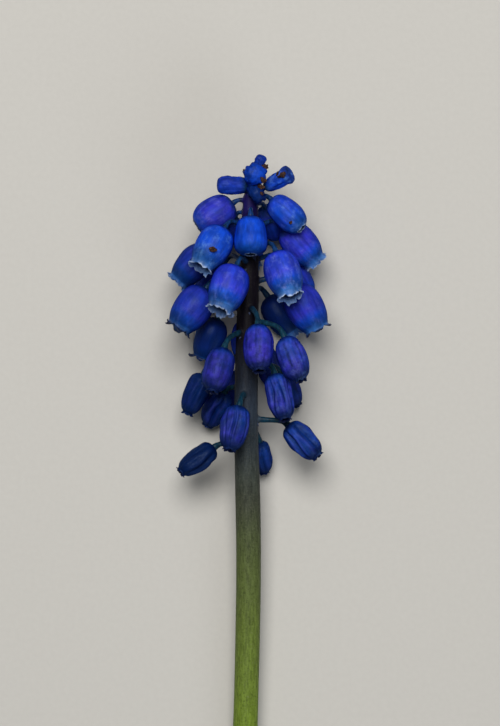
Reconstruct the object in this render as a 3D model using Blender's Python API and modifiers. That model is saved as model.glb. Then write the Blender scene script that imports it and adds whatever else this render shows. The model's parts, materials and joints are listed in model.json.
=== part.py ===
"""A grape hyacinth: one picked flower spike, lying on its side on a table.

Run it with: blender --background --python part.py

The plant has its own frame, in which it is modelled as if it were held up: +Y runs up the stem
from the cut end, +X is its right and +Z its front. An empty then lays it down, front side up,
so that it rests on two florets at its back and on the cut end of the stem.
"""

import math
from collections import namedtuple

import bmesh
import bpy
from mathutils import Vector

MM = 0.001
WELD = 0.001 * MM

# The stem, up which every height is measured from the cut end. Each pair is (height, value) in mm:
# how far the stem bends to its right and to its front, and how thick it is.
STEM_LENGTH = 98.2 * MM
STEM_SIDEWAYS = ((0, -1.5), (32, -0.3), (52, 0.1), (69, -0.2), (84, 0.05), (98.2, 0.4))
STEM_FORWARDS = ((0, 0.9), (40, 0.0), (70, 0.0), (98.2, 0.3))
STEM_THICKNESS = ((0, 3.2), (30, 3.0), (60, 3.0), (72, 2.8), (85, 2.45), (94, 1.85), (98.2, 0.9))
STEM_POINTS = 18
STEM_ROUNDNESS = 4

# The pedicels, each the thin stalk that carries one flower.
PEDICEL_THICKNESS = 0.75 * MM
PEDICEL_POINTS = 5
PEDICEL_ROUNDNESS = 1
PEDICEL_SPRING = 0.45
JOINT_GAP = 0.3 * MM

# Each flower has six tepals, grown together into a jar with six free lobes at its mouth.
TEPALS = 6
TURNED_STEPS = 2 * TEPALS
LOBES_START = 0.9

# What a turned jar looks like: its outline from base to mouth and back inside, as (radius, depth)
# in shares of its half width and length. Folds raise a rib along each tepal, lobes cut the mouth.
Jar = namedtuple("Jar", "length width outline folds lobes flare colour roughness")

JARS = {
    "bud": Jar(
        length=3.7 * MM,
        width=2.4 * MM,
        outline=(
            (0.0, 0.0), (0.28, 0.0), (0.62, 0.08), (0.86, 0.3), (1.0, 0.62), (0.93, 0.86),
            (0.62, 1.0), (0.3, 0.94), (0.0, 0.84),
        ),
        folds=0.03,
        lobes=0.02,
        flare=0.0,
        colour=(0.02, 0.1, 0.45, 1.0),
        roughness=0.55,
    ),
    "young_floret": Jar(
        length=5.2 * MM,
        width=4.2 * MM,
        outline=(
            (0.0, 0.0), (0.18, 0.0), (0.54, 0.05), (0.84, 0.2), (1.0, 0.5), (0.97, 0.72),
            (0.78, 0.89), (0.5, 0.97), (0.48, 1.0), (0.26, 0.96), (0.24, 0.8), (0.0, 0.7),
        ),
        folds=0.02,
        lobes=0.03,
        flare=0.03,
        colour=(0.03, 0.06, 0.42, 1.0),
        roughness=0.5,
    ),
    "open_floret": Jar(
        length=6.0 * MM,
        width=4.7 * MM,
        outline=(
            (0.0, 0.0), (0.17, 0.0), (0.52, 0.04), (0.84, 0.16), (1.0, 0.4), (0.96, 0.62),
            (0.8, 0.81), (0.64, 0.92), (0.68, 1.0), (0.46, 0.98), (0.38, 0.88), (0.5, 0.7), (0.0, 0.5),
        ),
        folds=0.02,
        lobes=0.045,
        flare=0.12,
        colour=(0.05, 0.06, 0.45, 1.0),
        roughness=0.5,
    ),
    "old_floret": Jar(
        length=5.6 * MM,
        width=3.7 * MM,
        outline=(
            (0.0, 0.0), (0.2, 0.0), (0.62, 0.04), (0.92, 0.14), (1.0, 0.4), (0.98, 0.68),
            (0.8, 0.88), (0.52, 0.95), (0.56, 1.0), (0.28, 0.97), (0.0, 0.86),
        ),
        folds=0.11,
        lobes=0.03,
        flare=0.08,
        colour=(0.03, 0.04, 0.3, 1.0),
        roughness=0.6,
    ),
}

# One row for each flower, from the top of the spike down. Lengths are in millimetres, angles in
# degrees. A pedicel leaves the stem at a height, and the flower's base hangs by `drop` below that
# and `reach` out from the stem's middle, on the side `turn`: 0 is the front, 90 the right, -90 the
# left and 180 the side the plant lies on. The mouth points to the side `face` and `nod` below
# level. `size` scales the whole flower and `plump` its width alone.
Flower = namedtuple("Flower", "kind height drop reach turn face nod size plump")

FLOWERS = (
    Flower("bud", 98.0, -0.7, 0.9, 55, 50, -62, 0.45, 1.3),
    Flower("bud", 97.6, 0.0, 1.3, 9, 6, -6, 0.92, 1.25),
    Flower("bud", 96.7, 0.3, 2.1, 62, 66, -27, 0.95, 0.98),
    Flower("bud", 96.6, 0.0, 1.0, -52, -80, 0, 0.88, 1.1),
    Flower("bud", 95.95, 0.0, 1.85, 16, 8, 20, 0.65, 1.1),
    Flower("bud", 97.2, 0.0, 1.4, 172, 172, -24, 0.9, 0.9),
    Flower("bud", 95.2, 0.0, 1.5, 178, 178, 4, 0.9, 0.95),
    Flower("young_floret", 94.7, 0.2, 2.1, -88, -86, 33, 1.0, 1.02),
    Flower("young_floret", 93.1, 0.3, 2.9, -139, -144, 46, 0.88, 0.88),
    Flower("young_floret", 94.9, 0.0, 2.6, 72, 72, 42, 1.0, 0.85),
    Flower("young_floret", 94.1, 0.1, 2.7, 140, 150, 46, 0.92, 0.9),
    Flower("young_floret", 93.0, 0.2, 3.25, 1, 0, 76, 0.92, 1.06),
    Flower("young_floret", 88.4, 0.7, 2.8, -176, -178, 62, 0.64, 0.76),
    Flower("open_floret", 91.7, 0.1, 4.5, 108, 106, 47, 0.93, 0.97),
    Flower("open_floret", 91.4, 0.0, 4.1, -48, -60, 55, 0.95, 0.98),
    Flower("open_floret", 89.4, 0.3, 4.9, -95, -95, 47, 0.93, 0.93),
    Flower("open_floret", 91.7, 0.6, 3.1, 178, 178, 50, 0.82, 0.8),
    Flower("open_floret", 87.3, 0.5, 4.4, -20, -44, 62, 0.98, 1.02),
    Flower("open_floret", 87.2, 0.3, 6.3, -149, -92, 60, 0.9, 0.9),
    Flower("open_floret", 88.8, 0.3, 4.7, 43, 40, 63, 0.98, 0.97),
    Flower("open_floret", 87.6, 0.3, 5.6, 127, 130, 49, 0.88, 0.9),
    Flower("open_floret", 84.6, 0.4, 5.2, -79, -80, 55, 1.0, 0.97),
    Flower("open_floret", 85.0, 0.5, 5.4, 86, 88, 61, 1.03, 0.96),
    Flower("open_floret", 83.1, -0.2, 5.6, 155, 92, 56, 0.92, 0.9),
    Flower("open_floret", 80.9, 0.6, 2.8, -174, -174, 63, 0.85, 0.82),
    Flower("open_floret", 81.8, 1.2, 3.9, -110, -120, 66, 0.88, 0.9),
    Flower("old_floret", 82.2, 2.4, 3.6, 20, 4, 70, 1.05, 0.93),
    Flower("old_floret", 80.6, 2.3, 5.2, 59, 52, 64, 1.02, 0.92),
    Flower("old_floret", 79.3, 2.3, 4.0, -43, -45, 68, 1.0, 0.98),
    Flower("old_floret", 78.8, 1.6, 3.9, 150, 148, 64, 0.94, 0.86),
    Flower("old_floret", 75.9, 1.6, 3.2, -164, -164, 64, 0.9, 0.82),
    Flower("old_floret", 76.2, 2.3, 5.2, -97, -108, 66, 0.93, 0.8),
    Flower("old_floret", 72.7, 1.0, 3.3, -126, -136, 54, 0.88, 0.86),
    Flower("old_floret", 76.2, 2.3, 4.1, 55, 36, 69, 1.05, 0.78),
    Flower("old_floret", 75.4, 1.3, 4.5, 115, 140, 52, 0.88, 0.85),
    Flower("old_floret", 71.4, 1.6, 3.0, 180, 180, 68, 0.88, 0.82),
    Flower("old_floret", 71.8, 1.7, 3.3, -15, -40, 71, 1.0, 0.84),
    Flower("old_floret", 68.8, 1.0, 5.0, 84, 82, 46, 0.95, 0.84),
    Flower("old_floret", 66.3, 1.2, 3.9, -85, -82, 36, 0.91, 0.82),
    Flower("old_floret", 67.6, 1.9, 3.0, 150, 158, 66, 0.73, 0.95),
)

# How the plant lies: by how many degrees its tip is raised, and how much of each of its three
# feet is pressed flat under its weight.
LIE_PITCH = 4.4
PRESSED_FLAT = 0.2 * MM
TABLE_SIZE = (60 * MM, 140 * MM, 4 * MM)


def clear_scene():
    for item in list(bpy.data.objects):
        bpy.data.objects.remove(item)


def new_collection(name, hidden=False):
    collection = bpy.data.collections.new(name)
    bpy.context.scene.collection.children.link(collection)
    collection.hide_render = hidden
    return collection


def new_material(name, colour, roughness):
    material = bpy.data.materials.new(name)
    material.use_nodes = True
    material.diffuse_color = colour
    shader = material.node_tree.nodes["Principled BSDF"]
    shader.inputs["Base Color"].default_value = colour
    shader.inputs["Roughness"].default_value = roughness
    shader.inputs["Metallic"].default_value = 0.0
    return material


def smooth_between(points, at):
    """The value at `at` on a smooth curve through (place, value) points."""
    last = len(points) - 1
    i = max(k for k in range(last) if k == 0 or points[k][0] <= at)
    before, start, end, after = (points[max(0, min(last, k))] for k in (i - 1, i, i + 1, i + 2))
    span = end[0] - start[0]
    slope_in = (end[1] - before[1]) / (end[0] - before[0]) * span
    slope_out = (after[1] - start[1]) / (after[0] - start[0]) * span
    t = (at - start[0]) / span
    return (
        start[1] * (1 + 2 * t) * (1 - t) ** 2
        + slope_in * t * (1 - t) ** 2
        + end[1] * t * t * (3 - 2 * t)
        + slope_out * t * t * (t - 1)
    )


def stem_middle(height):
    """The stem's centre at a height, in metres, in the plant's frame."""
    at = height / MM
    sideways = smooth_between(STEM_SIDEWAYS, at) * MM
    forwards = smooth_between(STEM_FORWARDS, at) * MM
    return Vector((sideways, height, forwards))


def outwards(angle):
    """The level direction at this angle round the stem, 0 being the front."""
    turn = math.radians(angle)
    return Vector((math.sin(turn), 0.0, math.cos(turn)))


def base_of(flower):
    """Where a flower's base meets its pedicel."""
    middle = stem_middle((flower.height - flower.drop) * MM)
    return middle + outwards(flower.turn) * flower.reach * MM


def way_of(flower):
    """The direction from a flower's base to its mouth."""
    nod = math.radians(flower.nod)
    return outwards(flower.face) * math.cos(nod) - Vector((0.0, math.sin(nod), 0.0))


def tube_mesh(name, points, thicknesses, roundness):
    """A tube with closed ends along these points, as a mesh."""
    curve = bpy.data.curves.new(name, "CURVE")
    curve.dimensions = "3D"
    curve.bevel_depth = 0.5
    curve.bevel_resolution = roundness
    curve.use_fill_caps = True
    spline = curve.splines.new("POLY")
    spline.points.add(len(points) - 1)
    for place, point, thickness in zip(spline.points, points, thicknesses):
        place.co = (*point, 1.0)
        place.radius = thickness
    guide = bpy.data.objects.new(name, curve)
    bpy.context.scene.collection.objects.link(guide)
    bpy.context.view_layer.update()
    mesh = bpy.data.meshes.new_from_object(guide.evaluated_get(bpy.context.evaluated_depsgraph_get()))
    bpy.data.objects.remove(guide)
    shape = bmesh.new()
    shape.from_mesh(mesh)
    bmesh.ops.remove_doubles(shape, verts=shape.verts, dist=WELD)
    bmesh.ops.recalc_face_normals(shape, faces=shape.faces)
    shape.to_mesh(mesh)
    shape.free()
    mesh.name = name
    return mesh


def pedicel_points(flower):
    """A pedicel's route: out of the stem's middle, over an arch and down to the flower's base."""
    start = stem_middle(flower.height * MM)
    way = way_of(flower)
    end = base_of(flower) - way * JOINT_GAP
    spring = (end - start).length * PEDICEL_SPRING
    leave = start + outwards(flower.turn) * spring
    arrive = end - way * spring
    points = []
    for k in range(PEDICEL_POINTS):
        t = k / (PEDICEL_POINTS - 1)
        points.append(
            start * (1 - t) ** 3 + leave * 3 * t * (1 - t) ** 2
            + arrive * 3 * t * t * (1 - t) + end * t ** 3
        )
    return points


def make_stem(collection):
    """The stem with all its pedicels, grown as one piece."""
    heights = [STEM_LENGTH * k / (STEM_POINTS - 1) for k in range(STEM_POINTS)]
    thicknesses = [smooth_between(STEM_THICKNESS, h / MM) * MM for h in heights]
    mesh = tube_mesh("stem", [stem_middle(h) for h in heights], thicknesses, STEM_ROUNDNESS)
    stem = bpy.data.objects.new("stem", mesh)
    collection.objects.link(stem)

    pedicels = new_collection("pedicels", hidden=True)
    for number, flower in enumerate(FLOWERS, 1):
        points = pedicel_points(flower)
        name = f"pedicel_{number:02d}"
        tube = tube_mesh(name, points, [PEDICEL_THICKNESS] * len(points), PEDICEL_ROUNDNESS)
        pedicels.objects.link(bpy.data.objects.new(name, tube))
    grow = stem.modifiers.new("grow pedicels", "BOOLEAN")
    grow.operation = "UNION"
    grow.operand_type = "COLLECTION"
    grow.collection = pedicels
    grow.solver = "EXACT"
    bpy.context.view_layer.update()
    grown = bpy.data.meshes.new_from_object(stem.evaluated_get(bpy.context.evaluated_depsgraph_get()))
    stem.modifiers.clear()
    stem.data = grown
    grown.name = "stem"
    for tube in list(pedicels.objects):
        bpy.data.objects.remove(tube)
    bpy.data.collections.remove(pedicels)
    grown.materials.clear()
    grown.materials.append(new_material("stem", (0.07, 0.09, 0.035, 1.0), 0.6))
    return stem


def turned_mesh(name, jar):
    """The jar's outline turned about its own axis, base at the origin and mouth towards -Z."""
    profile = bpy.data.meshes.new(name)
    corners = [(radius * jar.width / 2, 0.0, -depth * jar.length) for radius, depth in jar.outline]
    edges = [(k, k + 1) for k in range(len(corners) - 1)]
    profile.from_pydata(corners, edges, [])
    guide = bpy.data.objects.new(name, profile)
    bpy.context.scene.collection.objects.link(guide)
    turn = guide.modifiers.new("turn", "SCREW")
    turn.steps = TURNED_STEPS
    turn.render_steps = TURNED_STEPS
    turn.use_merge_vertices = True
    turn.merge_threshold = WELD
    bpy.context.view_layer.update()
    mesh = bpy.data.meshes.new_from_object(guide.evaluated_get(bpy.context.evaluated_depsgraph_get()))
    bpy.data.objects.remove(guide)
    return mesh


def shape_tepals(mesh, jar):
    """Raises a rib along each tepal and cuts the mouth into six lobes that spread outwards."""
    for vertex in mesh.vertices:
        radius = math.hypot(vertex.co.x, vertex.co.y)
        depth = -vertex.co.z / jar.length
        wave = math.cos(TEPALS * math.atan2(vertex.co.y, vertex.co.x))
        middle = math.sin(math.pi * min(1.0, depth))
        mouth = max(0.0, (depth - LOBES_START) / (1 - LOBES_START))
        share = 1 + jar.folds * wave * middle + jar.flare * mouth * max(0.0, wave)
        if radius > 0:
            vertex.co.x *= share
            vertex.co.y *= share
            vertex.co.z -= jar.lobes * mouth * wave * jar.length


def make_jar_meshes():
    """One mesh for each kind of flower, which its copies share."""
    meshes = {}
    for kind, jar in JARS.items():
        mesh = turned_mesh(kind, jar)
        shape_tepals(mesh, jar)
        mesh.shade_smooth()
        mesh.materials.clear()
        mesh.materials.append(new_material(kind, jar.colour, jar.roughness))
        mesh.name = kind
        meshes[kind] = mesh
    return meshes


def make_flowers(collection):
    """Every flower on its pedicel, named by its kind and counted from the top."""
    meshes = make_jar_meshes()
    counts = dict.fromkeys(JARS, 0)
    flowers = []
    for row in FLOWERS:
        counts[row.kind] += 1
        flower = bpy.data.objects.new(f"{row.kind}_{counts[row.kind]:02d}", meshes[row.kind])
        flower.location = base_of(row)
        flower.rotation_mode = "QUATERNION"
        flower.rotation_quaternion = Vector((0.0, 0.0, -1.0)).rotation_difference(way_of(row))
        flower.scale = (row.size * row.plump, row.size * row.plump, row.size)
        collection.objects.link(flower)
        flowers.append(flower)
    return flowers


def lay_down(pieces):
    """Puts the pieces under an empty that lays the plant on the table, centred over the origin."""
    plant = bpy.data.objects.new("lying_plant", None)
    bpy.context.scene.collection.objects.link(plant)
    plant.rotation_euler.x = math.radians(LIE_PITCH)
    for piece in pieces:
        piece.parent = plant
    bpy.context.view_layer.update()
    corners = [piece.matrix_world @ vertex.co for piece in pieces for vertex in piece.data.vertices]
    low, high = (Vector(edge(corner[k] for corner in corners) for k in range(3)) for edge in (min, max))
    plant.location = (-(low.x + high.x) / 2, -(low.y + high.y) / 2, -low.z - PRESSED_FLAT)
    return plant


def press_on_table(pieces):
    """Cuts off what would be below the table, which leaves a small flat spot on each foot."""
    hidden = new_collection("cutters", hidden=True)
    bpy.ops.mesh.primitive_cube_add(size=1.0, location=(0.0, 0.0, -TABLE_SIZE[2] / 2))
    table = bpy.context.active_object
    table.name = "table_cutter"
    table.scale = TABLE_SIZE
    table.hide_render = True
    table.display_type = "WIRE"
    for home in list(table.users_collection):
        home.objects.unlink(table)
    hidden.objects.link(table)
    bpy.context.view_layer.update()
    for piece in pieces:
        if min((piece.matrix_world @ vertex.co).z for vertex in piece.data.vertices) < 0:
            press = piece.modifiers.new("rest on the table", "BOOLEAN")
            press.operation = "DIFFERENCE"
            press.solver = "EXACT"
            press.object = table


def main():
    clear_scene()
    collection = new_collection("grape_hyacinth")
    pieces = [make_stem(collection), *make_flowers(collection)]
    lay_down(pieces)
    press_on_table(pieces)


main()
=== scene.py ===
"""The looks of one grape hyacinth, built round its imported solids.

Each flower's plain jar is replaced by a thin-walled one with folds, a hollow throat and six
curled lobes, and the stem by one grown skin that runs out into every pedicel. Dry scraps sit
where the tip of the spike has withered.
"""

import json
import math
import random
from collections import namedtuple
from functools import partial

import bmesh
import bpy
import numpy as np
from bpy.props import FloatProperty, FloatVectorProperty, PointerProperty
from mathutils import Matrix, Vector, noise
from mathutils.bvhtree import BVHTree

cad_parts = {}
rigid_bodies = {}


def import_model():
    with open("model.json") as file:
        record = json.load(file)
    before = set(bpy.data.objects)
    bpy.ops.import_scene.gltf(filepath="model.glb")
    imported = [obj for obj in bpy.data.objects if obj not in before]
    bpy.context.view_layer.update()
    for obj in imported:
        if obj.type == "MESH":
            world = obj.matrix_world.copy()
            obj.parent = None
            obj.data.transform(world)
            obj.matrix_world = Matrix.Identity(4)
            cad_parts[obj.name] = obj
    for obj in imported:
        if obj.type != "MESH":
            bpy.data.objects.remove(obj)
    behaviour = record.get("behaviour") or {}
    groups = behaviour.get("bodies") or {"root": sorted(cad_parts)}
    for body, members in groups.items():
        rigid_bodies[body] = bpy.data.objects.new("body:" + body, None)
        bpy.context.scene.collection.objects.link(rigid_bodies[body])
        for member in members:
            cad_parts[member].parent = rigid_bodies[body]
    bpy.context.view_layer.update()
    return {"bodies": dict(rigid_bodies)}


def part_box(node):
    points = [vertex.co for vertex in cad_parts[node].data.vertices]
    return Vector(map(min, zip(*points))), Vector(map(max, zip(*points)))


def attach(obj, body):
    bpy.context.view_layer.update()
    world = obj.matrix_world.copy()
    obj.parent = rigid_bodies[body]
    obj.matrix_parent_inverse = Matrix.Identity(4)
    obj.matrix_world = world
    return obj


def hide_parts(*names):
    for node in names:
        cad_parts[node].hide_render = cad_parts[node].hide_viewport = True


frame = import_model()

bl_info = {
    "name": "Grape Hyacinth",
    "version": (1, 0, 0),
    "blender": (4, 5, 0),
    "location": "View3D > Sidebar > Grape Hyacinth",
    "description": "Dresses the solids of a picked grape hyacinth with flowers and a grown stem",
    "category": "Object",
}

MM = 0.001
BODY = next(iter(frame["bodies"]))

# How the plant lies: its own frame has +Y up the stem from the cut end, +X right, +Z to the front.
# The tip is raised by this many degrees, and the cut end's middle is then moved to here, in mm.
LIE_PITCH = 4.4
LIE_PLACE = (0.00083, -49.91895, 0.51729)
PLANT = Matrix.Translation(Vector(LIE_PLACE) * MM)
PLANT = PLANT @ Matrix.Rotation(math.radians(LIE_PITCH), 4, "X")
TABLE_CLEARANCE = 0.015 * MM

# The stem, as (height, value) pairs in mm: its bend to the right and front, and its thickness.
STEM_LENGTH = 98.2
STEM_SIDEWAYS = ((0, -1.5), (32, -0.3), (52, 0.1), (69, -0.2), (84, 0.05), (98.2, 0.4))
STEM_FORWARDS = ((0, 0.9), (40, 0.0), (70, 0.0), (98.2, 0.3))
STEM_THICKNESS = ((0, 3.2), (30, 3.0), (60, 3.0), (72, 2.8), (85, 2.45), (94, 1.85), (98.2, 0.9))

# The pedicels: how far their arches spring, and in mm how far short of a flower the solid ones
# end and how far past that point the grown ones run into it.
PEDICEL_SPRING = 0.45
PEDICEL_GAP = 0.3
PEDICEL_SINK = 0.5

TEPALS = 6

# The forms of the flowers. The outline runs from the base to the neck, as (radius, depth) in
# shares of the half width and the length. Lengths are in mm. Creases lie between the tepals,
# faint ones along their middles, and pleats wherever a flower has sunk in. A jar without lobes is
# closed, and its knob says how dark its end has withered.
Jar = namedtuple(
    "Jar",
    "slot length width sides outline crease faint wobble pleats pleat knob lobe point hollow wall",
    defaults=(0, 0.0, 0.0, 0.0, 1.0, 0.0, 0.2),
)

BUD = Jar(
    "bud", length=3.7, width=2.4, sides=72, crease=0.06, faint=0.02, wobble=0.07,
    outline=(
        (0.0, 0.0), (0.2, 0.0), (0.42, 0.03), (0.66, 0.1), (0.87, 0.3), (1.0, 0.6),
        (0.96, 0.8), (0.76, 0.93), (0.42, 0.985), (0.0, 1.0),
    ),
)
WITHERED_BUD = BUD._replace(width=2.5, sides=96, crease=0.1, wobble=0.08)
YOUNG_FLORET = Jar(
    "young_floret", length=5.2, width=4.2, sides=96, crease=0.022, faint=0.004, wobble=0.02,
    lobe=0.2, point=3.0, hollow=0.6,
    outline=(
        (0.0, 0.0), (0.14, 0.0), (0.3, 0.01), (0.56, 0.05), (0.85, 0.19), (1.0, 0.46),
        (0.975, 0.69), (0.8, 0.87), (0.6, 0.955), (0.46, 0.985),
    ),
)
OLD_FLORET = Jar(
    "old_floret", length=5.6, width=3.75, sides=96, crease=0.035, faint=0.008, wobble=0.03,
    pleats=3, pleat=0.035, lobe=0.42, point=1.5, hollow=0.8,
    outline=(
        (0.0, 0.0), (0.16, 0.0), (0.34, 0.012), (0.6, 0.06), (0.84, 0.16), (0.98, 0.35),
        (1.0, 0.54), (0.93, 0.73), (0.77, 0.86), (0.56, 0.935), (0.46, 0.955),
    ),
)
SUNKEN_FLORET = OLD_FLORET._replace(
    width=3.8, sides=120, crease=0.03, faint=0.0, wobble=0.05, pleats=4, pleat=0.2, point=1.4,
    outline=(
        (0.0, 0.0), (0.16, 0.0), (0.36, 0.012), (0.64, 0.05), (0.9, 0.15), (1.0, 0.36),
        (0.97, 0.62), (0.84, 0.81), (0.64, 0.92), (0.52, 0.95),
    ),
)
JARS = {
    "bud": BUD,
    "long_bud": BUD._replace(width=2.35, outline=(
        (0.0, -0.22), (0.3, -0.215), (0.62, -0.16), (0.84, 0.0), (0.97, 0.3), (1.0, 0.6),
        (0.96, 0.82), (0.78, 0.95), (0.42, 1.01), (0.0, 1.02),
    )),
    "knobbed_bud": WITHERED_BUD._replace(pleats=3, pleat=0.14, knob=3.0, outline=(
        (0.0, -0.08), (0.26, -0.07), (0.5, -0.02), (0.7, 0.1), (0.87, 0.34), (0.96, 0.58),
        (0.97, 0.72), (1.06, 0.84), (0.98, 0.95), (0.72, 1.0), (0.42, 0.97), (0.2, 0.95),
        (0.0, 0.95),
    )),
    "crumpled_bud": WITHERED_BUD._replace(pleats=2, pleat=0.12, outline=(
        (0.0, -0.4), (0.4, -0.38), (0.8, -0.3), (1.12, -0.1), (1.3, 0.25), (1.25, 0.6),
        (1.05, 0.84), (0.7, 0.98), (0.35, 1.03), (0.0, 1.04),
    )),
    "young_floret": YOUNG_FLORET,
    "thimble_floret": YOUNG_FLORET._replace(outline=(
        (0.0, 0.0), (0.14, 0.0), (0.3, 0.012), (0.56, 0.06), (0.8, 0.19), (0.94, 0.42),
        (1.0, 0.66), (0.93, 0.84), (0.68, 0.95), (0.4, 0.985),
    )),
    "open_floret": Jar(
        "open_floret", length=6.0, width=4.7, sides=120, crease=0.022, faint=0.004, wobble=0.02,
        lobe=0.86, point=3.0, hollow=0.4, wall=0.18,
        outline=(
            (0.0, 0.0), (0.13, 0.0), (0.28, 0.01), (0.54, 0.05), (0.84, 0.165), (1.0, 0.39),
            (0.97, 0.6), (0.86, 0.78), (0.74, 0.88), (0.68, 0.925),
        ),
    ),
    "old_floret": OLD_FLORET,
    "sunken_floret": SUNKEN_FLORET,
    "ribbed_floret": SUNKEN_FLORET._replace(sides=168, pleats=7, pleat=0.11),
}
# The flowers whose form isn't that of their kind.
OTHER_FORMS = {
    "bud_03": "knobbed_bud", "bud_04": "long_bud", "bud_05": "crumpled_bud",
    "young_floret_05": "thimble_floret",
    **{f"old_floret_{number:02d}": "sunken_floret" for number in range(6, 15)},
    "old_floret_08": "ribbed_floret", "old_floret_11": "ribbed_floret",
}

# The flowers of each kind, from the top of the spike down. A row says at what height in mm the
# pedicel leaves the stem, how far below that and how far out the base hangs, where it stands
# round the stem and where its mouth faces, both in degrees, how far it nods, and its size and
# plumpness beside its form's. These are as in the solids. Its looks follow, as shares: how violet
# it is and not azure, how much pale wax it wears, laid on thicker as a painted highlight, how dark
# it is, partly its own deeper tone and partly painted shade where it lies in shade, how pale its
# lobes are and how strongly it is folded. A share past 0 or 1 holds out against the skin's
# patches. Last is its lobes' curl in degrees.
Flower = namedtuple(
    "Flower",
    "kind node height drop reach turn face nod size plump violet bloom deep pale fold curl",
)
FLOWER_ROWS = {
    "bud": (
        (98.0, -0.7, 0.9, 55, 50, -62, 0.45, 1.3, 0.1, 0.1, 0.5, 0, 2.2, 0),
        (97.6, 0.0, 1.3, 9, 6, -6, 0.92, 1.25, -0.6, 0.0, 0.38, 0, 2.6, 0),
        (96.7, 0.3, 2.1, 62, 66, -27, 0.95, 0.98, 0.0, 1.0, 0.0, 0, 1.2, 0),
        (96.6, 0.0, 1.0, -52, -80, 0, 0.88, 1.1, 0.15, 0.2, 0.28, 0, 1.3, 0),
        (95.95, 0.0, 1.85, 16, 8, 20, 0.65, 1.1, -0.1, 0.1, 1.15, 0, 1.8, 0),
        (97.2, 0.0, 1.4, 172, 172, -24, 0.9, 0.9, 0.1, 0.3, 0.2, 0, 1.0, 0),
        (95.2, 0.0, 1.5, 178, 178, 4, 0.9, 0.95, 0.3, 0.2, 0.3, 0, 1.0, 0),
    ),
    "young_floret": (
        (94.7, 0.2, 2.1, -88, -86, 33, 1.0, 1.02, 0.95, 0.8, 0.33, 0.1, 0.8, -30),
        (93.1, 0.3, 2.9, -139, -144, 46, 0.88, 0.88, 0.5, 0.3, 0.6, 0.5, 0.8, 0),
        (94.9, 0.0, 2.6, 72, 72, 42, 1.0, 0.85, 0.3, 0.8, 0.15, 0.6, 0.9, -10),
        (94.1, 0.1, 2.7, 140, 150, 46, 0.92, 0.9, 0.5, 0.2, 0.5, 0.4, 0.8, 0),
        (93.0, 0.2, 3.25, 1, 0, 76, 0.92, 1.06, -0.15, 0.2, 0.05, 0.5, 0.8, -55),
        (88.4, 0.7, 2.8, -176, -178, 62, 0.64, 0.76, 0.5, 0.2, 0.5, 0.5, 0.8, 0),
    ),
    "open_floret": (
        (91.7, 0.1, 4.5, 108, 106, 47, 0.93, 0.97, 1.0, 0.6, 0.08, 1.0, 0.55, 98),
        (91.4, 0.0, 4.1, -48, -60, 55, 0.95, 0.98, 0.0, 0.9, 0.08, 0.9, 1.3, 32),
        (89.4, 0.3, 4.9, -95, -95, 47, 0.93, 0.93, 0.6, 0.3, 0.82, 1.0, 1.0, 100),
        (91.7, 0.6, 3.1, 178, 178, 50, 0.82, 0.8, 0.5, 0.3, 0.3, 0.7, 1.0, 60),
        (87.3, 0.5, 4.4, -20, -44, 62, 0.98, 1.02, 0.78, 0.6, 0.08, 0.68, 0.9, 50),
        (87.2, 0.3, 6.3, -149, -92, 60, 0.9, 0.9, 0.6, 0.2, 0.5, 0.6, 0.8, 60),
        (88.8, 0.3, 4.7, 43, 40, 63, 0.98, 0.97, 0.75, 1.1, 0.0, 1.0, 0.8, 60),
        (87.6, 0.3, 5.6, 127, 130, 49, 0.88, 0.9, 0.6, 0.2, 0.3, 1.0, 0.8, 95),
        (84.6, 0.4, 5.2, -79, -80, 55, 1.0, 0.97, 0.7, 0.4, 0.62, 0.4, 0.9, 155),
        (85.0, 0.5, 5.4, 86, 88, 61, 1.03, 0.96, 0.9, 0.4, 0.36, 0.9, 1.0, 132),
        (83.1, -0.2, 5.6, 155, 92, 56, 0.92, 0.9, 0.5, 0.1, 1.2, 1.0, 0.9, 85),
        (80.9, 0.6, 2.8, -174, -174, 63, 0.85, 0.82, 0.6, 0.2, 0.5, 0.5, 1.0, 70),
        (81.8, 1.2, 3.9, -110, -120, 66, 0.88, 0.9, 0.35, 0.1, 1.15, 0.05, 1.4, 150),
    ),
    "old_floret": (
        (82.2, 2.4, 3.6, 20, 4, 70, 1.05, 0.93, 1.0, 0.3, 0.0, 0.1, 0.45, 60),
        (80.6, 2.3, 5.2, 59, 52, 64, 1.02, 0.92, 0.6, 0.5, 0.1, 0.1, 0.4, 70),
        (79.3, 2.3, 4.0, -43, -45, 68, 1.0, 0.98, 0.85, 0.2, 0.45, 0.1, 0.55, 60),
        (78.8, 1.6, 3.9, 150, 148, 64, 0.94, 0.86, 0.5, 0.2, 0.5, 0.1, 0.8, 80),
        (75.9, 1.6, 3.2, -164, -164, 64, 0.9, 0.82, 0.5, 0.2, 0.5, 0.1, 0.9, 80),
        (76.2, 2.3, 5.2, -97, -108, 66, 0.93, 0.8, 0.2, 0.0, 1.08, 0.1, 1.3, 90),
        (72.7, 1.0, 3.3, -126, -136, 54, 0.88, 0.86, 0.2, 0.05, 0.7, 0.1, 1.5, 90),
        (76.2, 2.3, 4.1, 55, 36, 69, 1.05, 0.78, 0.5, 0.25, 0.22, 0.1, 1.6, 80),
        (75.4, 1.3, 4.5, 115, 140, 52, 0.88, 0.85, 0.4, 0.1, 0.5, 0.1, 0.9, 90),
        (71.4, 1.6, 3.0, 180, 180, 68, 0.88, 0.82, 0.4, 0.2, 0.5, 0.1, 0.9, 90),
        (71.8, 1.7, 3.3, -15, -40, 71, 1.0, 0.84, 0.5, 0.15, 0.55, 0.1, 1.3, 70),
        (68.8, 1.0, 5.0, 84, 82, 46, 0.95, 0.84, -0.2, 0.15, 0.25, 0.1, 1.7, 70),
        (66.3, 1.2, 3.9, -85, -82, 36, 0.91, 0.82, -0.6, 0.0, 1.25, 0.1, 1.6, 70),
        (67.6, 1.9, 3.0, 150, 158, 66, 0.73, 0.95, -0.1, 0.2, 0.7, 0.1, 1.5, 80),
    ),
}
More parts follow.
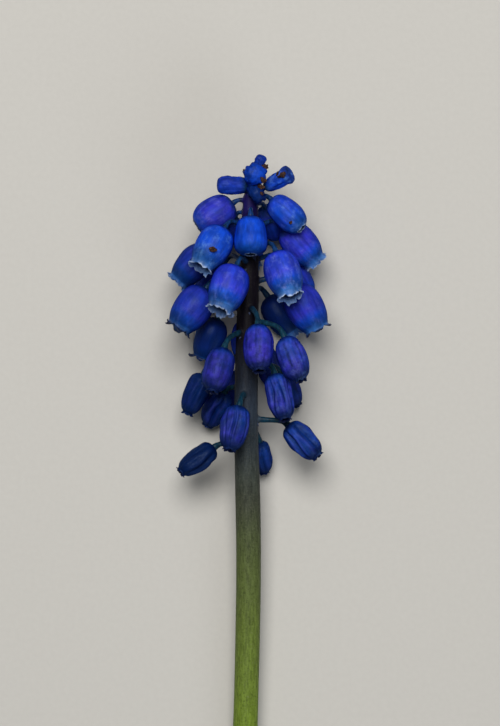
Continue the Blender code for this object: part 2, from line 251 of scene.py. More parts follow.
FLOWERS = tuple(
    Flower(kind, f"{kind}_{number:02d}", *row)
    for kind, rows in FLOWER_ROWS.items() for number, row in enumerate(rows, 1)
)


def linear(code):
    """An sRGB colour such as "#3e4dd1" as linear red, green and blue."""
    shares = [int(code[k:k + 2], 16) / 255 for k in (1, 3, 5)]
    return tuple(c / 12.92 if c <= 0.04045 else ((c + 0.055) / 1.055) ** 2.4 for c in shares)


def colour_prop(name, description, code):
    return FloatVectorProperty(
        name=name, description=description, default=linear(code), subtype="COLOR", size=3,
        min=0.0, max=1.0,
    )


def length_prop(name, description, millimetres):
    return FloatProperty(
        name=name, description=description, default=millimetres * MM, subtype="DISTANCE",
        unit="LENGTH", min=0.0, precision=5,
    )


def share_prop(name, description, value):
    return FloatProperty(
        name=name, description=description, default=value, subtype="FACTOR", min=0.0, max=1.0
    )


def power_prop(name, description, watts):
    return FloatProperty(
        name=name, description=description, default=watts, unit="POWER", min=0.0
    )


# Where things are


def ease(t, start, end, slope_in, slope_out):
    """The value at the share t of a smooth step between two values that has these slopes."""
    return (
        start * (1 + 2 * t) * (1 - t) ** 2
        + slope_in * t * (1 - t) ** 2
        + end * t * t * (3 - 2 * t)
        + slope_out * t * t * (t - 1)
    )


def smooth_between(points, at):
    """The value at `at` on a smooth curve through (place, value) points."""
    last = len(points) - 1
    i = max(k for k in range(last) if k == 0 or points[k][0] <= at)
    before, start, end, after = (points[max(0, min(last, k))] for k in (i - 1, i, i + 1, i + 2))
    span = end[0] - start[0]
    slope_in = (end[1] - before[1]) / (end[0] - before[0]) * span
    slope_out = (after[1] - start[1]) / (after[0] - start[0]) * span
    return ease((at - start[0]) / span, start[1], end[1], slope_in, slope_out)


def stem_middle(height):
    """The stem's centre at a height in mm, in metres in the plant's frame."""
    sideways = smooth_between(STEM_SIDEWAYS, height)
    forwards = smooth_between(STEM_FORWARDS, height)
    return Vector((sideways, height, forwards)) * MM


def outwards(angle):
    """The level direction at this angle round the stem, 0 being the front."""
    turn = math.radians(angle)
    return Vector((math.sin(turn), 0.0, math.cos(turn)))


def base_of(flower):
    return stem_middle(flower.height - flower.drop) + outwards(flower.turn) * flower.reach * MM


def way_of(flower):
    """The direction from a flower's base to its mouth."""
    nod = math.radians(flower.nod)
    return outwards(flower.face) * math.cos(nod) - Vector((0.0, math.sin(nod), 0.0))


def place_of(flower):
    """The matrix that puts a jar with its base at the origin and its mouth towards -Z in place."""
    turn = Vector((0.0, 0.0, -1.0)).rotation_difference(way_of(flower))
    return PLANT @ Matrix.Translation(base_of(flower)) @ turn.to_matrix().to_4x4()


# Meshes


def run_along(points):
    """How far along a route of points each of them is."""
    steps = np.linalg.norm(np.diff(points, axis=0), axis=1)
    return np.concatenate([[0.0], np.cumsum(steps)])


def curve_through(points, count, finer=12):
    """`count` points at even steps along a smooth curve through these 2D points."""
    points = np.array(points, float)
    lengths = run_along(points)
    slopes = np.gradient(points, lengths, axis=0)
    at = np.linspace(0.0, lengths[-1], finer * count)
    i = np.clip(np.searchsorted(lengths, at, side="right") - 1, 0, len(points) - 2)
    span = (lengths[i + 1] - lengths[i])[:, None]
    t = ((at - lengths[i]) / span[:, 0])[:, None]
    fine = ease(t, points[i], points[i + 1], slopes[i] * span, slopes[i + 1] * span)
    run = run_along(fine)
    even = np.linspace(0.0, run[-1], count)
    return np.stack([np.interp(even, run, fine[:, k]) for k in (0, 1)], axis=1)


def cloud(points, size, seed):
    """Smooth noise from -1 to 1 at each point, with lumps of this size."""
    shift = Vector((seed * 7.31, seed * 3.77, seed * 5.13))
    return np.array([noise.noise(Vector(p) / size + shift) for p in points])


def joined(parts):
    """The points and faces of several shapes as those of one mesh."""
    points, faces = [], []
    for corners, sheets in parts:
        first = len(points)
        points += [tuple(p) for p in corners]
        faces += [tuple(first + k for k in face) for face in sheets]
    return points, faces


def ring_faces(rings, sides):
    """The quads between rings of `sides` points that follow each other."""
    faces = []
    for low in range(0, (rings - 1) * sides, sides):
        for k in range(sides):
            after = (k + 1) % sides
            faces.append((low + k, low + after, low + sides + after, low + sides + k))
    return faces


def tube(points, radii, sides):
    """The points and faces of a tube with closed ends along a route."""
    route = [Vector(p) for p in points]
    last = len(route) - 1
    way = (route[1] - route[0]).normalized()
    side = way.orthogonal().normalized()
    corners = []
    for k, (middle, radius) in enumerate(zip(route, radii)):
        new_way = (route[min(last, k + 1)] - route[max(0, k - 1)]).normalized()
        side = (way.rotation_difference(new_way) @ side).normalized()
        side = (side - new_way * side.dot(new_way)).normalized()
        way = new_way
        other = way.cross(side)
        for step in range(sides):
            angle = math.tau * step / sides
            corners.append(middle + (side * math.cos(angle) + other * math.sin(angle)) * radius)
    faces = ring_faces(len(route), sides)
    for middle, low, flip in ((route[0], 0, True), (route[-1], last * sides, False)):
        corners.append(middle)
        tip = len(corners) - 1
        for k in range(sides):
            pair = (low + k, low + (k + 1) % sides)
            faces.append((*(pair[::-1] if flip else pair), tip))
    return corners, faces


def ball(centre, width, length, along, rings=9, sides=12):
    """The points and faces of an egg with its long way along a direction. Both sizes are halves."""
    turn = Vector((0.0, 0.0, 1.0)).rotation_difference(Vector(along)).to_matrix()
    corners = []
    for ring in range(rings):
        lift = math.pi * (ring + 0.5) / rings
        for step in range(sides):
            angle = math.tau * step / sides
            x, y = math.cos(angle) * math.sin(lift), math.sin(angle) * math.sin(lift)
            corner = Vector((x * width, y * width, -math.cos(lift) * length))
            corners.append(Vector(centre) + turn @ corner)
    faces = ring_faces(rings, sides)
    faces.append(tuple(range(sides))[::-1])
    faces.append(tuple(range((rings - 1) * sides, rings * sides)))
    return corners, faces


def new_piece(name, points, faces, place, slot, material, nodes=(), **values):
    """A smooth mesh object that rides on the plant's body, its points moved from their own frame
    to their place. `values` are numbers kept per point, and `grown` is the point in its own frame.
    """
    points = np.array([tuple(p) for p in points], float)
    world = np.array(place)
    mesh = bpy.data.meshes.new(name)
    mesh.from_pydata(points @ world[:3, :3].T + world[:3, 3], [], faces)
    grown = mesh.attributes.new("grown", "FLOAT_VECTOR", "POINT")
    grown.data.foreach_set("vector", points.astype(np.float32).ravel())
    for key, numbers in values.items():
        numbers = np.broadcast_to(np.asarray(numbers, np.float32), len(points))
        kept = mesh.attributes.new(key, "FLOAT", "POINT")
        kept.data.foreach_set("value", np.ascontiguousarray(numbers))
    shape = bmesh.new()
    shape.from_mesh(mesh)
    bmesh.ops.recalc_face_normals(shape, faces=shape.faces)
    shape.to_mesh(mesh)
    shape.free()
    mesh.materials.append(material)
    mesh.shade_smooth()
    piece = bpy.data.objects.new(name, mesh)
    bpy.context.scene.collection.objects.link(piece)
    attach(piece, BODY)
    if nodes:
        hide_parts(*nodes)


def above_table(points, place):
    """The points, with those that would be in the table pressed flat on it."""
    world = np.array(place)
    found = points @ world[:3, :3].T + world[:3, 3]
    found[:, 2] = np.maximum(found[:, 2], TABLE_CLEARANCE)
    return (found - world[:3, 3]) @ world[:3, :3]


# Materials


def add(tree, kind, *inputs, named=None, stops=(), out=None, **settings):
    """Adds a node with its settings, the values or links of its inputs, in the order of those in
    use or by name, and a ramp's colour stops. Gives its output of this name or its first in use.
    """
    node = tree.nodes.new("ShaderNode" + kind)
    for key, value in settings.items():
        setattr(node, key, value)
    fed = list(zip((socket for socket in node.inputs if socket.enabled), inputs))
    fed += [(node.inputs[key], value) for key, value in (named or {}).items()]
    for socket, value in fed:
        if isinstance(value, bpy.types.NodeSocket):
            tree.links.new(value, socket)
        else:
            socket.default_value = (*value, 1.0) if socket.type == "RGBA" else value
    if stops:
        elements = node.color_ramp.elements
        for _ in stops[2:]:
            elements.new(0.5)
        for element, (place, colour) in zip(elements, stops):
            element.position = place
            element.color = (*colour, 1.0)
    return node.outputs[out] if out else next(s for s in node.outputs if s.enabled)


def new_material(name, **constants):
    """A material, its shader with its sockets at these values, and `add` for its nodes."""
    material = bpy.data.materials.new(name)
    material.use_nodes = True
    shader = material.node_tree.nodes["Principled BSDF"]
    for key, value in constants.items():
        shader.inputs[key.replace("_", " ")].default_value = value
    return material, shader, partial(add, material.node_tree)


def feed(shader, **outputs):
    """Links these outputs to the shader's sockets of the same names."""
    for key, output in outputs.items():
        shader.id_data.links.new(output, shader.inputs[key.replace("_", " ")])


def petal_material(name, looks, old=False, opened=False):
    """Waxy tepals: living petal tissue under a thin powdery wax bloom.

    Pale wax gives the eye a soft, greyish, broad highlight, and it is laid on thicker than the
    real wax, so that part of its paleness is a painted highlight. The skin under it runs from
    violet or azure shoulders through teal to the pale, almost white lobes, with painted shade in
    its creases, in its hollow and over whole flowers that lie in shade, and a painted highlight on
    the crests of old folds. The coat stands for the clear blue cells over the pigment: light that
    skims a rim crosses more of them, so that rims look deeper. The colours are as seen straight
    on, through that coat.
    """
    material, shader, node = new_material(
        name, IOR=1.42, Specular_IOR_Level=0.16, Coat_IOR=1.03, Coat_Roughness=0.5,
        Coat_Tint=(*looks.cells, 1.0), Subsurface_Weight=0.08, Subsurface_Scale=0.4 * MM,
        Subsurface_Radius=(0.5, 0.6, 1.0),
    )
    place = node("Attribute", out="Vector", attribute_name="grown")
    told = {
        key: node("Attribute", out="Fac", attribute_name=key)
        for key in (
            "along", "crease", "ridge", "inside", "depth", "anther", "hooked", "violet", "bloom",
            "deep", "pale",
        )
    }

    # The colour bands run from base to mouth and wander by a few tenths of a millimetre.
    if old:
        azure_stops = (
            (0.0, looks.pedicel_end), (0.06, looks.old_blue), (0.34, looks.old_blue),
            (0.43, looks.navy_and_crease_shade), (0.5, looks.old_teeth),
        )
        violet_stops = (
            (0.0, looks.pedicel_end), (0.05, looks.old_blue), (0.15, looks.old_violet),
            (0.36, looks.old_violet), (0.45, looks.navy_and_crease_shade), (0.5, looks.old_teeth),
        )
    else:
        azure_stops = (
            (0.0, looks.pedicel_end), (0.06, looks.azure), (0.3, looks.azure),
            (0.42, looks.teal), (0.47, looks.throat),
        )
        violet_stops = (
            (0.0, looks.pedicel_end), (0.05, looks.violet), (0.28, looks.violet),
            (0.36, looks.azure), (0.42, looks.teal), (0.47, looks.throat),
        )
    along = node("Math", told["along"], 0.5, operation="MULTIPLY")
    drift = node("TexNoise", place, 1 / (1.3 * MM), 3.0)
    wander = node("Math", drift, 0.1, -0.05, operation="MULTIPLY_ADD")
    band = along
    if not old:
        # Florets with darker lobes keep their shoulders' colour nearly down to the mouth.
        least = 0.92 if opened else 0.72
        reach = node("Math", told["pale"], 1 - least, least, operation="MULTIPLY_ADD")
        band = node("Math", along, reach, operation="MULTIPLY")
    band = node("Math", band, wander, operation="ADD")
    azure = node("ValToRGB", band, stops=azure_stops)
    violet = node("ValToRGB", band, stops=violet_stops)
    # Some of the skin has gone duller, in clouds one to two millimetres wide.
    dull = node("TexNoise", place, 1 / (1.7 * MM), 2.0, 0.4)
    dull = node("MapRange", dull, 0.42, 0.66, 0.0, 0.6 if old else 0.45)
    # Violet and azure run into each other in clouds a few millimetres wide.
    hue = node("TexNoise", place, 1 / (2.4 * MM), 2.0)
    hue = node("Math", hue, 2.6 if old else 1.6, -1.3 if old else -0.8, operation="MULTIPLY_ADD")
    hue = node("Math", told["violet"], hue, operation="ADD", use_clamp=True)
    skin = node("Mix", hue, azure, violet, data_type="RGBA")
    if not old:
        # Blotches a third of a millimetre wide break the lobes' paleness up.
        blotch = node("TexNoise", place, 1 / (0.5 * MM), 3.0)
        blotch = node("Math", blotch, 0.5, -0.25, operation="MULTIPLY_ADD")
        paleness = node("Math", along, blotch, operation="ADD")
        lobes = node("ValToRGB", paleness, stops=(
            (0.56, looks.throat), (0.82, looks.lobes), (1.0, looks.lobe_edges),
        ))
        lobes = node("Mix", told["pale"], looks.dark_lobes_and_hook_shade, lobes, data_type="RGBA")
        # Painted shade: lobes that have curled up into hooks are darkened at their tips.
        hook_tip_shade = node("MapRange", along, 0.62, 0.76)
        hook_tip_shade = node("Math", hook_tip_shade, told["hooked"], operation="MULTIPLY")
        lobes = node("Mix", hook_tip_shade, lobes, looks.dark_lobes_and_hook_shade, data_type="RGBA")
        mouth = node("MapRange", band, 0.46, 0.52)
        skin = node("Mix", mouth, skin, lobes, data_type="RGBA")

    skin = node("Mix", dull, skin, looks.navy_and_crease_shade, data_type="RGBA")
    # Streaks run from base to mouth, about a quarter of a millimetre apart.
    stretched = node("Mapping", named={"Vector": place, "Scale": (1.0, 1.0, 0.16)})
    streak = node("TexNoise", stretched, 1 / (0.42 * MM), 4.0)
    contrast, darkest = (1.6, 0.2) if old else (1.3, 0.33)
    shade = node("Math", streak, contrast, darkest, operation="MULTIPLY_ADD")
    if old:
        # Shrinking has mottled the old ones too, in patches of half a millimetre.
        mottle = node("TexNoise", place, 1 / (0.6 * MM), 4.0, 0.65)
        mottle = node("Math", mottle, 2.4, -1.2, operation="MULTIPLY_ADD")
        shade = node("Math", shade, mottle, operation="ADD")
        shade = node("Math", shade, 0.3, operation="MAXIMUM")
    shade = node("CombineColor", shade, shade, shade)
    skin = node("Mix", 1.0, skin, shade, data_type="RGBA", blend_type="MULTIPLY")

    # Painted shade: the grooves between the tepals, the pleats' valleys and the buds' wrinkles are
    # darkened to navy. On the knobbed bud the same mark gives the withered end its own dark colour.
    crease = node("Math", told["crease"], 0.7 if old else 0.22, operation="MULTIPLY")
    skin = node("Mix", crease, skin, looks.navy_and_crease_shade, data_type="RGBA")
    # Painted highlight: the crests of an old floret's folds are lightened towards violet.
    if old:
        ridge = node("Math", told["ridge"], 0.34, operation="MULTIPLY")
        skin = node("Mix", ridge, skin, looks.old_crest_highlight, data_type="RGBA")

    # Wax lies in patches of a millimetre and grains of a tenth, drawn twice as coarse to show. It
    # is laid on thicker than the real wax, so that part of its paleness is a painted highlight.
    patches = node("TexNoise", place, 1 / (1.1 * MM), 5.0, 0.62)
    grains = node("TexNoise", place, 1 / (0.2 * MM), 2.0)
    patches = node("MapRange", patches, 0.48, 0.7)
    grainy = node("MapRange", grains, 0.3, 0.7)
    streaky = node("MapRange", streak, 0.4, 0.62, 0.35, 1.0)
    wax_and_highlight = node("Math", grainy, 0.5, 0.5, operation="MULTIPLY_ADD")
    wax_and_highlight = node("Math", wax_and_highlight, streaky, operation="MULTIPLY")
    wax_and_highlight = node("Math", wax_and_highlight, patches, operation="MULTIPLY")
    wax_and_highlight = node("Math", wax_and_highlight, 0.72, 0.03, operation="MULTIPLY_ADD")
    wax_and_highlight = node("Math", wax_and_highlight, told["bloom"], operation="MULTIPLY")
    if not old:
        # The lobes wear less wax, with less of its painted highlight, and take less of the painted
        # shade below, so they stay paler than the jar.
        less_on_lobes = node("MapRange", along, 0.44, 0.52, 1.0, 0.35)
        wax_and_highlight = node("Math", wax_and_highlight, less_on_lobes, operation="MULTIPLY")
    wax_and_highlight_colour = node("Mix", hue, looks.azure_bloom_and_highlight, looks.bloom, data_type="RGBA")
    skin = node("Mix", wax_and_highlight, skin, wax_and_highlight_colour, data_type="RGBA")

    # Painted shade: flowers that lie in shade are darkened towards the deep colour, besides their
    # own deeper tone, and the lobes get less of it.
    deep = node("Math", told["deep"], 0.75, operation="MULTIPLY")
    if not old:
        deep = node("Math", deep, less_on_lobes, operation="MULTIPLY")
    skin = node("Mix", deep, skin, looks.deep, data_type="RGBA")
    skin = node("Mix", told["anther"], skin, looks.anthers, data_type="RGBA")
    # Painted shade: the lining darkens towards the deep colour the further into the hollow it lies.
    depth = node("Math", told["depth"], 0.3, operation="MULTIPLY")
    lining = looks.old_teeth if old else looks.inside
    inner = node("Mix", depth, lining, looks.deep, data_type="RGBA")
    if not old:
        edge = node("MapRange", paleness, 0.84, 1.05, 0.0, 0.55)
        inner = node("Mix", edge, inner, looks.lobe_edges, data_type="RGBA")
        inner = node("Mix", told["pale"], looks.dark_lobes_and_hook_shade, inner, data_type="RGBA")
        # The hooked tips' painted shade runs onto their inner side too.
        inner = node("Mix", hook_tip_shade, inner, looks.dark_lobes_and_hook_shade, data_type="RGBA")
    skin = node("Mix", told["inside"], skin, inner, data_type="RGBA")

    # The clear cells end at the throat, and the colour under them is that much lighter.
    coat = node("Math", 1.0, told["inside"], operation="SUBTRACT")
    if not old:
        fade = node("MapRange", along, 0.56, 0.45)
        coat = node("Math", coat, fade, operation="MULTIPLY")
    cells = node("Mix", coat, (1.0, 1.0, 1.0), looks.cells, data_type="RGBA")
    skin = node("Mix", 1.0, skin, cells, data_type="RGBA", blend_type="DIVIDE")

    matt = node("Math", wax_and_highlight, 0.4, 0.33, operation="MULTIPLY_ADD")
    matt = node("Math", grainy, 0.1, matt, operation="MULTIPLY_ADD")
    fine = node("Math", streak, 1.6, grains, operation="MULTIPLY_ADD")
    relief = (0.09 if old else 0.05) * MM
    bump = node("Bump", named={"Height": fine, "Strength": 0.6, "Distance": relief})
    feed(shader, Base_Color=skin, Coat_Weight=coat, Roughness=matt, Normal=bump)
    return material


def stem_material(looks):
    """A smooth, faintly waxed flower stem, grown and not cut anywhere but at its foot.

    It gives the eye a soft sheen along its length, over green that turns to a dark purplish brown
    in the spike, mottled lengthwise by rows of cells, with bluish teal pedicels.
    """
    material, shader, node = new_material("stem_skin", IOR=1.45, Specular_IOR_Level=0.12)
    place = node("Attribute", out="Vector", attribute_name="grown")
    pedicel = node("Attribute", out="Fac", attribute_name="pedicel")
    cut = node("Attribute", out="Fac", attribute_name="cut")

    height = node("SeparateXYZ", place, out="Y")
    level = node("Math", height, STEM_LENGTH * MM, operation="DIVIDE")
    drift = node("TexNoise", place, 1 / (6 * MM), 4.0)
    drift = node("Math", drift, 0.06, -0.03, operation="MULTIPLY_ADD")
    level = node("Math", level, drift, operation="ADD")
    skin = node("ValToRGB", level, stops=(
        (0.0, looks.foot), (0.3, looks.green), (0.46, looks.olive), (0.6, looks.turning),
        (0.7, looks.dusky), (0.8, looks.dark), (0.925, looks.dark), (0.965, looks.tip),
    ))

    # Cells stand in rows a tenth of a millimetre wide, drawn at about twice that to show.
    stretched = node("Mapping", named={"Vector": place, "Scale": (1.0, 0.18, 1.0)})
    rows = node("TexNoise", stretched, 1 / (0.26 * MM), 4.0, 0.6)
    specks = node("TexNoise", place, 1 / (0.24 * MM), 3.0, 0.65)
    shade = node("Math", rows, 1.7, 0.15, operation="MULTIPLY_ADD")
    shade = node("CombineColor", shade, shade, shade)
    skin = node("Mix", 1.0, skin, shade, data_type="RGBA", blend_type="MULTIPLY")
    pale = node("MapRange", specks, 0.56, 0.74, 0.0, 0.26)
    fewer = node("MapRange", level, 0.55, 0.75, 1.0, 0.2)
    pale = node("Math", pale, fewer, operation="MULTIPLY")
    skin = node("Mix", pale, skin, looks.speckle, data_type="RGBA")
    dusky = node("MapRange", specks, 0.46, 0.3, 0.0, 0.45)
    skin = node("Mix", dusky, skin, looks.dark, data_type="RGBA")

    striped = node("MapRange", rows, 0.35, 0.65)
    upper = node("MapRange", level, 0.82, 0.92)
    stalk = node("Mix", upper, looks.pedicel, looks.pedicel_top, data_type="RGBA")
    stalk = node("Mix", striped, looks.pedicel_dark, stalk, data_type="RGBA")
    skin = node("Mix", pedicel, skin, stalk, data_type="RGBA")
    skin = node("Mix", cut, skin, looks.cut, data_type="RGBA")
    matt = node("Math", specks, 0.25, 0.4, operation="MULTIPLY_ADD")
    matt = node("Math", pedicel, -0.2, matt, operation="MULTIPLY_ADD")
    grain = node("Math", rows, 1.4, specks, operation="MULTIPLY_ADD")
    bump = node("Bump", named={"Height": grain, "Strength": 0.5, "Distance": 0.05 * MM})
    feed(shader, Base_Color=skin, Roughness=matt, Normal=bump)
    return material


def bract_material(looks):
    """Papery scales: thin dry membranes, mottled between a pale and a stained colour."""
    material, shader, node = new_material(
        "papery_bract", IOR=1.45, Specular_IOR_Level=0.3, Roughness=0.6
    )
    place = node("Attribute", out="Vector", attribute_name="grown")
    mottle = node("TexNoise", place, 1 / (0.25 * MM), 3.0)
    skin = node("ValToRGB", mottle, stops=((0.35, looks.bract_root), (0.65, looks.bract)))
    feed(shader, Base_Color=skin)
    return material


def scrap_material(looks):
    """Dead, dried petal and anther tissue: papery, rusty brown and quite matt."""
    material, shader, node = new_material(
        "withered_tissue", IOR=1.45, Specular_IOR_Level=0.25, Roughness=0.8
    )
    place = node("Attribute", out="Vector", attribute_name="grown")
    mottle = node("TexNoise", place, 1 / (0.3 * MM), 4.0)
    skin = node("ValToRGB", mottle, stops=(
        (0.3, looks.scrap_dark), (0.55, looks.scrap), (0.75, looks.scrap_pale),
    ))
    bump = node("Bump", named={"Height": mottle, "Strength": 0.8, "Distance": 0.05 * MM})
    feed(shader, Base_Color=skin, Normal=bump)
    return material


def floor_material(looks):
    """Matt pale card: pressed fibres with no shine, so that only shadows mark it."""
    material, shader, node = new_material(
        "pale_card", IOR=1.5, Specular_IOR_Level=0.2, Roughness=0.9
    )
    place = node("TexCoord", out="Object")
    fibres = node("TexNoise", place, 1 / (0.6 * MM), 3.0)
    skin = node("ValToRGB", fibres, stops=(
        (0.3, tuple(0.97 * c for c in looks.floor)), (0.7, tuple(looks.floor)),
    ))
    feed(shader, Base_Color=skin)
    return material


# Flowers


def pleat_waves(jar, dice, angle, depth):
    """How deep the pleats are and how high the crests beside them stand, from 0 to 1, over a
    jar's wall. Each pleat wanders a little round the jar on its way down.
    """
    valley = np.zeros((len(depth), len(angle)))
    crest = np.zeros_like(valley)
    for k in range(jar.pleats):
        middle = math.tau * (k + dice.uniform(-0.28, 0.28)) / jar.pleats
        lean, sway, phase = dice.uniform(-0.5, 0.5), dice.uniform(0.03, 0.14), dice.uniform(0, 6)
        wide, deep = dice.uniform(0.55, 1.1) / jar.pleats, dice.uniform(0.45, 1.0)
        track = middle + lean * (depth - 0.5) + sway * np.sin(7 * depth + phase)
        away = np.abs((angle[None] - track[:, None] + math.pi) % math.tau - math.pi)
        reach = (0.55 + 0.45 * np.sin(math.pi * np.clip(depth * 1.05, 0, 1)))[:, None]
        valley += deep * reach * np.exp(-((away / wide) ** 2))
        crest += deep * reach * np.exp(-(((away - 2.1 * wide) / (0.8 * wide)) ** 2))
    return valley, crest


def jar_mesh(angle, radius, depth, start, end):
    """The points and faces of rings round -Z, closed by a point at the depth of either end."""
    points = np.stack([radius * np.cos(angle), radius * np.sin(angle), -depth], axis=-1)
    points = np.concatenate([points.reshape(-1, 3), [[0.0, 0.0, -start], [0.0, 0.0, -end]]])
    sides = len(angle)
    faces = ring_faces(len(radius), sides)
    first, last = len(points) - 2, len(points) - 1
    low = first - sides
    for k in range(sides):
        after = (k + 1) % sides
        faces += [(after, k, first), (low + k, low + after, last)]
    return points, faces


def with_ends(rings, first=0.0, last=0.0):
    """The values of a jar's rings and of the two points that close it."""
    return np.append(rings.ravel(), [first, last])


WALL_RINGS = 40
LOBE_RINGS = 16
ROOF_RINGS = 5


def floret_shape(jar, flower, length, half_width, seed):
    """A jar's points, faces and values per point, base at the origin and mouth towards -Z."""
    dice = random.Random(seed)
    sides = jar.sides
    angle = np.arange(sides) * math.tau / sides
    uneven = 0.05 + 0.13 * min(1.0, jar.crease / 0.1)
    turned = angle + uneven * np.sin(angle + dice.uniform(0, 6))
    turned = turned + uneven * 0.6 * np.sin(2 * angle + dice.uniform(0, 6))
    wedge = turned / math.tau * TEPALS + 0.5
    tepal = np.floor(wedge).astype(int) % TEPALS
    # How far round a tepal a point is, from -0.5 to 0.5, and how far from its middle, from 0 to 1.
    share = wedge % 1.0 - 0.5
    aside = 2 * np.abs(share)
    between = aside ** (3.4 if jar.crease > 0.05 else 2.6)
    middle = np.exp(-((share / 0.09) ** 2))
    deeper = np.array([dice.uniform(0.2, 1.8) for _ in range(TEPALS)])
    crease_depth = jar.crease * flower.fold * deeper[(tepal - (share < 0)) % TEPALS]
    squashed = (jar.crease * 0.4 + jar.pleat * 0.35) * np.cos(2 * angle + dice.uniform(0, 6))

    # The outer wall, from the base to the neck. It is folded and dented where it is full, and only
    # buds are wrinkled.
    outline = curve_through(jar.outline, WALL_RINGS)
    down = outline[:, 1]
    along = np.repeat(down[:, None], sides, axis=1)
    depth = np.repeat(down[:, None] * length, sides, axis=1)
    fullness = np.sin(np.pi * np.clip(down, 0, 1)) ** 0.6
    fullness = np.maximum(fullness, 0.5 * (down > 0.5))[:, None]
    valley, crest = pleat_waves(jar, dice, angle, down)
    inwards = crease_depth * between + jar.faint * flower.fold * middle
    inwards = inwards + jar.pleat * flower.fold * (valley - 0.3 * crest)
    radius = outline[:, :1] * half_width * (1 - (inwards + squashed) * fullness)
    wall = np.stack([radius * np.cos(angle), radius * np.sin(angle), depth], axis=-1)
    wall = wall.reshape(-1, 3)
    lumps = cloud(wall, half_width * 1.1, seed).reshape(radius.shape)
    wrinkles = np.zeros_like(radius)
    if jar.slot == "bud":
        wrinkles = cloud(wall, half_width * 0.38, seed + 50).reshape(radius.shape)
        lumps = flower.fold * (0.8 * lumps + 0.5 * wrinkles)
    radius = radius * (1 + jar.wobble * lumps * 2.0 * fullness)
    sunk = min(1.0, 6 * jar.pleat * flower.fold)
    # Where the material paints shade: in the grooves between the tepals, in the pleats' valleys and
    # in the buds' wrinkles. On a knobbed bud it also marks the withered end, dark of itself.
    crease = np.maximum(between ** 2, sunk * np.minimum(1.0, valley)) * fullness
    crease = np.maximum(crease, np.clip(-3.0 * wrinkles, 0, 1) * flower.fold * 0.7)
    crease = np.maximum(crease, jar.knob * np.clip((along - 0.74) / 0.14, 0, 1))
    # Where the material paints a highlight on old florets: on the tepals' faces away from their
    # creases and middles, and on the crests beside the pleats.
    ridge = ((1 - between) * (1 - middle) * (1 - sunk) + crest * sunk) * fullness
    if not jar.lobe:
        within = slice(1, -1)
        ends = depth[0].mean(), depth[-1].mean()
        return *jar_mesh(angle, radius[within], depth[within], *ends), {
            "along": with_ends(along[within] * 0.8, 0.0, 0.8), "inside": 0.0, "depth": 0.0,
            "crease": with_ends(crease[within]), "ridge": with_ends(ridge[within]),
            "anther": 0.0, "hooked": 0.0,
        }

    # The lobes leave the neck along the wall and curl outwards. In open mouths they are torn and
    # differ more, and those that curl far back are hooks with narrow tips.
    torn = 1.5 if jar.lobe > 0.5 else 1.0
    lobe_reach = 0.96 + np.array([dice.uniform(-0.2, 0.2) for _ in range(TEPALS)])[tepal] * torn
    lobe_curl = np.array([dice.uniform(-30, 30) for _ in range(TEPALS)])[tepal] * torn
    hooked = min(1.0, max(0.0, (flower.curl - 90) / 40))
    broad = 0.48 + 0.52 * (1 - aside ** jar.point) ** 0.55
    narrow = 0.2 + 0.8 * (1 - aside ** 1.3) ** 1.8
    form = broad * (1 - hooked) + narrow * hooked
    notches = [dice.uniform(-1, 1) for _ in range(sides // 3)]
    ragged = np.interp(np.arange(sides), np.arange(0, sides + 3, 3), notches + notches[:1])
    ragged = 1 + 0.13 * torn * ragged
    reach = jar.lobe * length / jar.length * lobe_reach * form * ragged
    start = np.arctan2(radius[-1] - radius[-2], depth[-1] - depth[-2])
    aim = np.radians(flower.curl + lobe_curl + 14 * np.sin(2 * angle * TEPALS + seed))
    lobe_radius, lobe_depth, lean = [radius[-1]], [depth[-1]], [start]
    for step in range(1, LOBE_RINGS + 1):
        bend = start + (aim - start) * (step / LOBE_RINGS) ** 1.5 * form
        lobe_radius.append(lobe_radius[-1] + np.sin(bend) * reach / LOBE_RINGS)
        lobe_depth.append(lobe_depth[-1] + np.cos(bend) * reach / LOBE_RINGS)
        lean.append(bend)
    lobe_radius, lobe_depth, lean = (np.array(x) for x in (lobe_radius, lobe_depth, lean))
    done = np.linspace(0, 1, LOBE_RINGS + 1)[:, None]
    lobe_along = 1 + done * form
    gap = aside ** 3

    # The inner side follows the outer one at the wall's thickness, back to the hollow's end. The
    # lobes thin out towards their tips, and a low dome roofs the hollow.
    thin = (jar.wall * MM) * (1 - 0.6 * done)
    inner_radius = lobe_radius - np.cos(lean) * thin
    inner_depth = lobe_depth + np.sin(lean) * thin
    tip_radius = (lobe_radius[-1] + inner_radius[-1]) / 2 + np.sin(lean[-1]) * thin[-1] * 0.5
    tip_depth = (lobe_depth[-1] + inner_depth[-1]) / 2 + np.cos(lean[-1]) * thin[-1] * 0.5
    slope = np.arctan2(np.gradient(radius, axis=0), np.gradient(depth, axis=0))
    near_mouth = np.clip((down - jar.hollow) / (1 - jar.hollow), 0, 1)
    thick = jar.wall * MM * (1 + 0.6 * (1 - near_mouth))[:, None]
    back = down > jar.hollow
    back_radius = (radius - np.cos(slope) * thick)[back][::-1][1:]
    back_depth = (depth + np.sin(slope) * thick)[back][::-1][1:]
    roof = np.linspace(0.8, 0.15, ROOF_RINGS)[:, None]
    roof_radius = back_radius[-1] * roof
    roof_depth = back_depth[-1] - (1 - roof ** 2) * 0.12 * length

    rings = (
        (radius, depth, along, crease, ridge, 0.0),
        (lobe_radius[1:], lobe_depth[1:], lobe_along[1:], gap, 0.0, 0.0),
        (tip_radius[None], tip_depth[None], lobe_along[-1:], gap, 0.0, 0.0),
        (inner_radius[::-1], inner_depth[::-1], lobe_along[::-1], gap, 0.0, 1.0),
        (back_radius, back_depth, 1.0, 0.0, 0.0, 1.0),
        (roof_radius, roof_depth, 1.0, 0.0, 0.0, 1.0),
    )
    radius, depth, along, crease, ridge, inside = (
        np.concatenate([np.zeros_like(ring[0]) + value for ring, value in zip(rings, column)])
        for column in zip(*rings)
    )
    ends = jar.outline[0][1] * length, depth[-1].mean() - 0.005 * length
